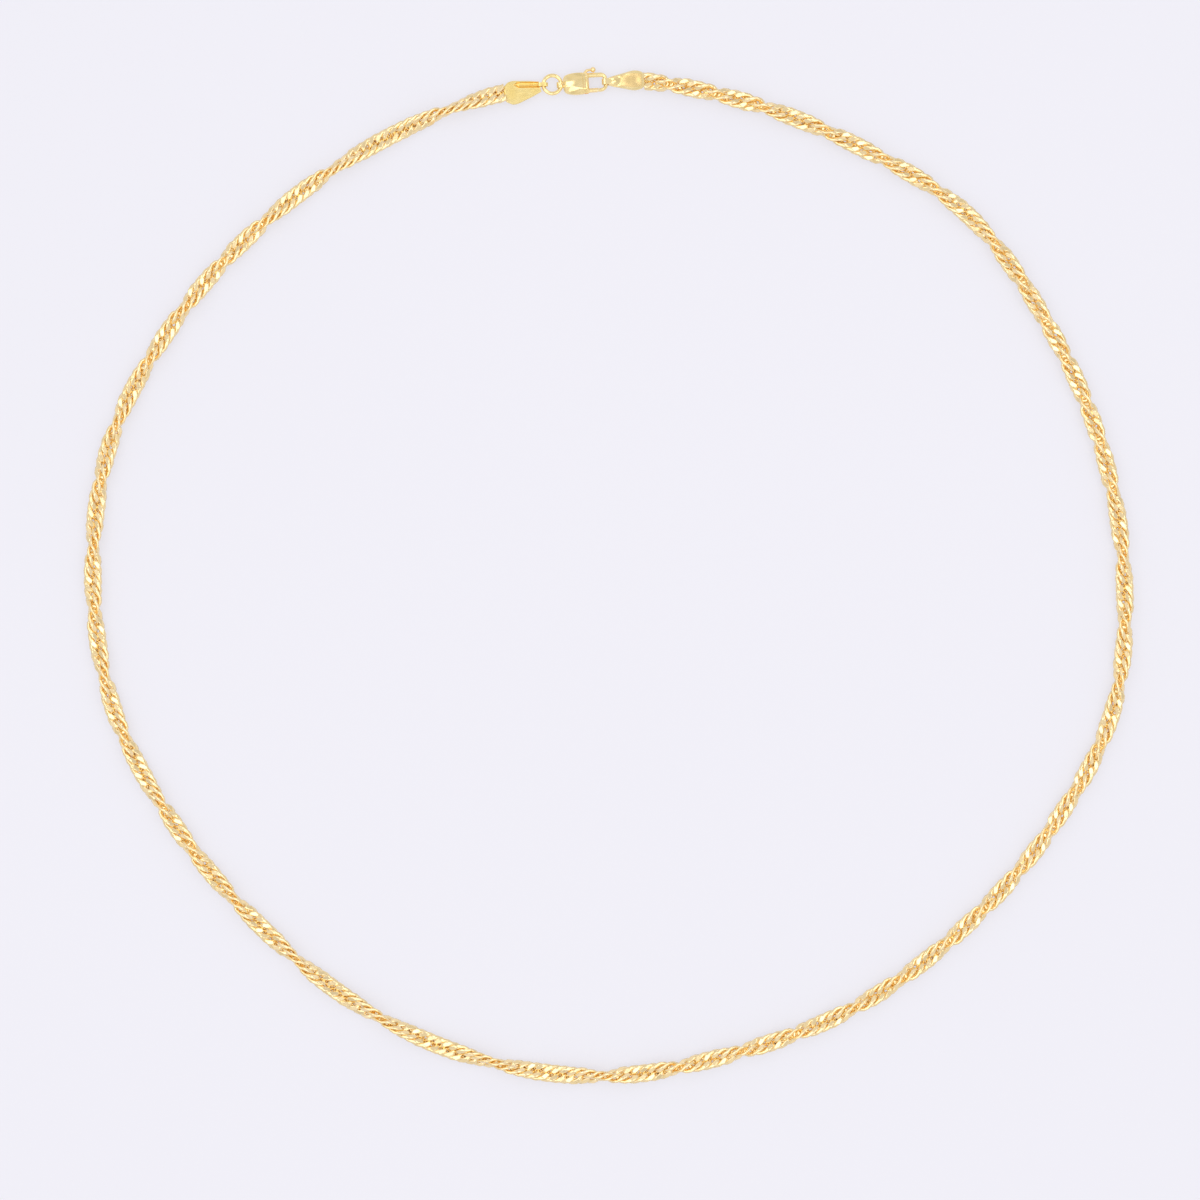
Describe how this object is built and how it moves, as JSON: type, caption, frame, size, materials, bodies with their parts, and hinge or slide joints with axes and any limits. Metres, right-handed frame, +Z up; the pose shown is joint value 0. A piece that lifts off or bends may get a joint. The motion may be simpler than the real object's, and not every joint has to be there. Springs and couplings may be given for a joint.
{
  "type": "twisted curb chain necklace",
  "caption": "Closed loop of right-hand twisted flat curb chain, fastened by a lobster clasp with a sprung lever to a jump ring and two folded end tabs.",
  "frame": {"origin": "on the surface, under the middle of the whole necklace's box", "axes": "+Z up from the surface, +Y from the middle of the loop to the clasp, +X to the right when seen from above"},
  "size_m": [0.168, 0.1628, 0.003],
  "materials": {
    "chain_gold": "polished yellow gold, cut in bright flat facets",
    "fitting_gold": "polished yellow gold",
    "lever_gold": "polished yellow gold"
  },
  "bodies": {
    "necklace": {"chain": "chain_gold", "jump_ring": "fitting_gold", "clasp_body": "fitting_gold", "clasp_pin": "lever_gold", "end_tab_left": "fitting_gold", "end_tab_right": "fitting_gold"},
    "lever": {"clasp_lever": "lever_gold"}
  },
  "joints": [
    {"name": "lever_hinge", "type": "hinge", "parent": "necklace", "child": "lever", "pos_m": [-0.00387, 0.07818, 0.00105], "axis": [0, 0, 1], "range_deg": [0, 25], "stiffness_Nm_per_rad": 0.01}
  ]
}
